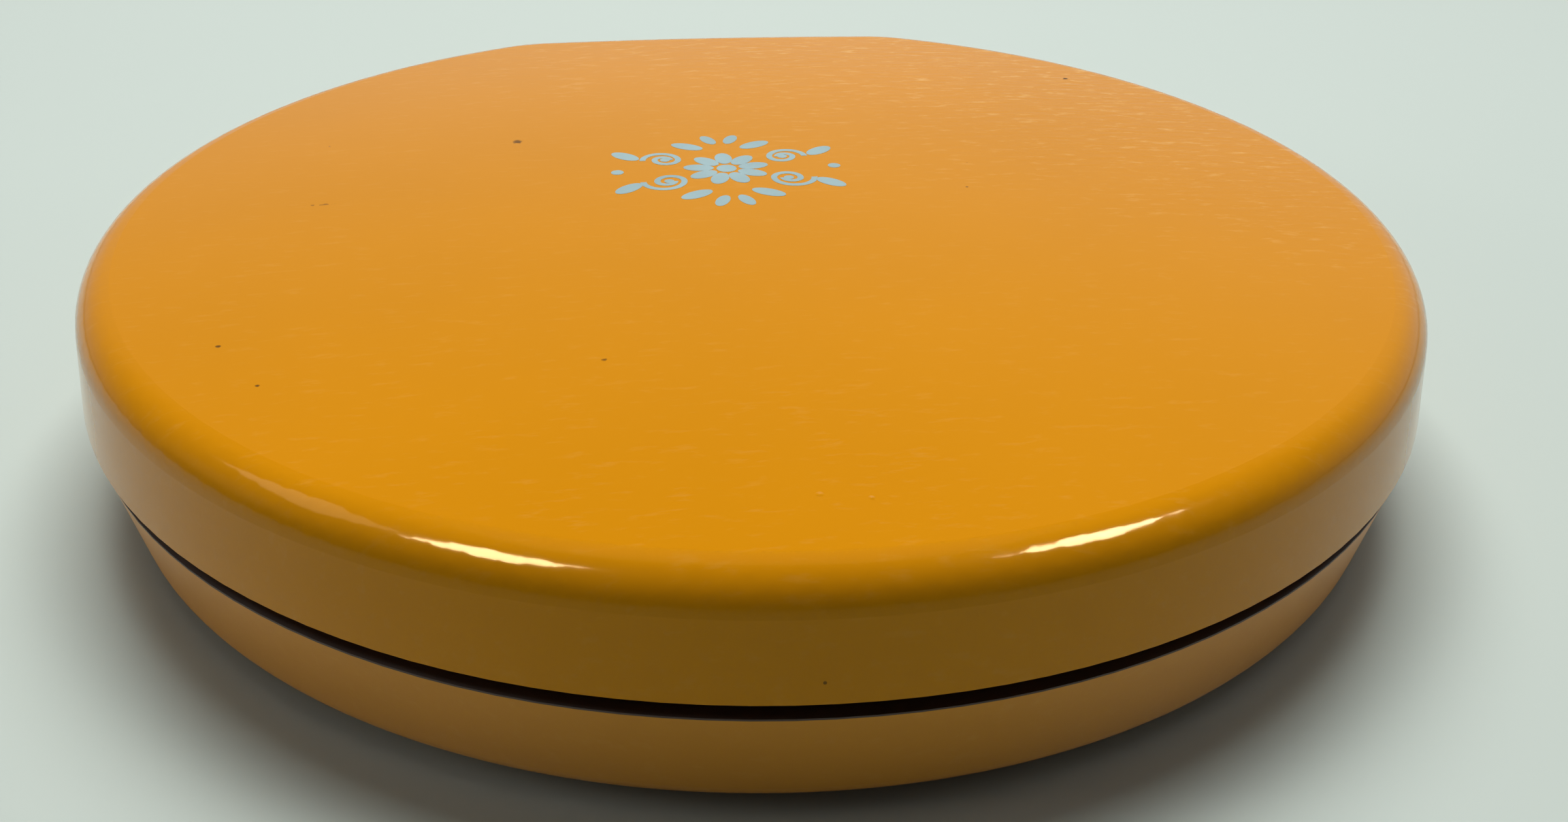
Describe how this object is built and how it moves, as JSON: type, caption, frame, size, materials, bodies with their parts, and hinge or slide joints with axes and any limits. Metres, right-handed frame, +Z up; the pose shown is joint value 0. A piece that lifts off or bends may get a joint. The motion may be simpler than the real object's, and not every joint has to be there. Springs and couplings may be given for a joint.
{
  "type": "electric shaver",
  "caption": "Electric shaver kept in a round orange hinged case with a domed lid, a mirror inside the lid and a moulded tray that holds the shaver and its push-on attachments.",
  "frame": {"origin": "middle of the closed case's footprint, on the surface it stands on", "axes": "+Z up, +X to the right seen from the front, +Y from the front to the hinges"},
  "size_m": [0.24, 0.2392, 0.0459],
  "materials": {
    "case_orange": "glossy moulded ochre-orange plastic",
    "tray_brown": "fine-grained dark brown moulding",
    "pin_steel": "drawn steel",
    "mirror_silver": "silvered glass with a ground edge",
    "ring_cream": "glossy cream plastic",
    "handle_cream": "glossy cream plastic",
    "handle_orange": "glossy orange plastic",
    "switch_brown": "satin brown plastic",
    "black_plastic": "black moulding",
    "chassis_plastic": "natural plastic moulding",
    "core_iron": "varnished laminated iron",
    "copper_wire": "enamelled copper wire",
    "capacitor_red": "dipped component body",
    "foil_steel": "perforated foil",
    "blade_steel": "ground steel",
    "rubber_cream": "soft rubber",
    "bristle_white": "nylon bristle",
    "abrasive_pink": "bonded grit",
    "felt_white": "pressed felt",
    "file_grey": "bonded grit on metal"
  },
  "bodies": {
    "base": {"base_shell": "case_orange", "hinge_pins": "pin_steel", "inner_tray": "tray_brown", "handle_upper_shell": "handle_cream", "handle_lower_shell": "handle_orange", "casing_screws": "pin_steel", "switch_block": "black_plastic", "inlet_socket": "black_plastic", "inlet_pins": "pin_steel", "motor_chassis": "chassis_plastic", "stator_core": "core_iron", "coil_bobbins": "chassis_plastic", "coil_windings": "copper_wire", "suppressor_capacitor": "capacitor_red", "rocker_pin": "pin_steel", "centring_springs": "pin_steel", "head_housing": "handle_orange", "foil_frame": "handle_cream", "shaving_foil": "foil_steel", "cutter_springs": "pin_steel", "massage_cup": "rubber_cream", "massage_ball": "handle_orange", "bristle_brush": "handle_cream", "brush_tufts": "bristle_white", "callus_drum": "abrasive_pink", "felt_buffer": "felt_white", "nail_file": "file_grey", "cuticle_tip": "rubber_cream", "dimple_roller": "handle_orange", "massage_cup_hub": "handle_cream", "massage_ball_hub": "handle_cream", "bristle_brush_hub": "handle_cream", "callus_drum_hub": "handle_cream", "felt_buffer_hub": "handle_cream", "nail_file_hub": "handle_cream", "cuticle_tip_hub": "handle_cream", "dimple_roller_hub": "handle_cream"},
    "lid": {"lid_shell": "case_orange", "mirror_glass": "mirror_silver", "mirror_ring": "ring_cream"},
    "switch": {"power_slider": "switch_brown"},
    "rocker": {"rocker_arm": "chassis_plastic", "armature": "core_iron"},
    "cutter": {"cutter_carrier": "black_plastic", "cutter_blades": "blade_steel"},
    "button_front": {"release_button_front": "switch_brown"},
    "button_rear": {"release_button_rear": "switch_brown"}
  },
  "joints": [
    {"name": "lid_hinge", "type": "hinge", "parent": "base", "child": "lid", "pos_m": [0, 0.11575, 0.0203], "axis": [-1, 0, 0], "range_deg": [0, 105]},
    {"name": "power_switch", "type": "slide", "parent": "base", "child": "switch", "axis": [1, 0, 0], "range_m": [0, 0.004]},
    {"name": "rocker_swing", "type": "hinge", "parent": "base", "child": "rocker", "pos_m": [-0.0165, -0.04565, 0.0222], "axis": [0, 0, 1], "range_deg": [-2.2, 2.2], "stiffness_Nm_per_rad": 0.05, "deforming": ["centring_springs"]},
    {"name": "cutter_slide", "type": "slide", "parent": "base", "child": "cutter", "axis": [0, -1, 0], "range_m": [-0.0013, 0.0013], "deforming": ["cutter_springs"]},
    {"name": "release_front", "type": "slide", "parent": "base", "child": "button_front", "axis": [0, 1, 0], "range_m": [0, 0.0008], "stiffness_N_per_m": 300},
    {"name": "release_rear", "type": "slide", "parent": "base", "child": "button_rear", "axis": [0, -1, 0], "range_m": [0, 0.0008], "stiffness_N_per_m": 300}
  ],
  "couplings": [
    {"joint": "rocker_swing", "follows": "cutter_slide", "rad_per_m": 29.412}
  ]
}
